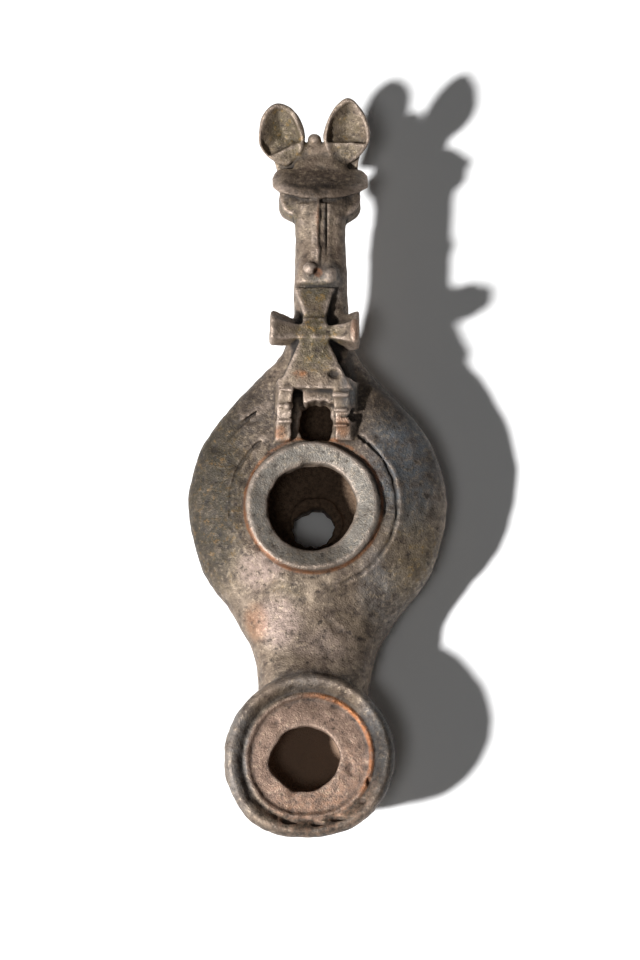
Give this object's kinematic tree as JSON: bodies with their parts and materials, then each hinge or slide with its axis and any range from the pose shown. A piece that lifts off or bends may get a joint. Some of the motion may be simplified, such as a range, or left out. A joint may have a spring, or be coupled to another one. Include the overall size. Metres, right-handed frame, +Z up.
{
  "type": "bronze oil lamp",
  "caption": "Hollow cast bronze hand lamp: pear-shaped body on a foot ring, round wick spout, open filler hole, hinge lugs, flared cross and a handle shaped as an animal's head.",
  "frame": {"origin": "middle of the model's box on the ground that the foot ring stands on", "axes": "+Z up, +Y from the spout towards the handle's end, +X to the right seen from the spout"},
  "size_m": [0.0512, 0.1472, 0.0305],
  "materials": {
    "bronze": "cast bronze with a worn brown-grey and green patina"
  },
  "bodies": {
    "root": {"lamp_casting": "bronze"}
  },
  "joints": []
}
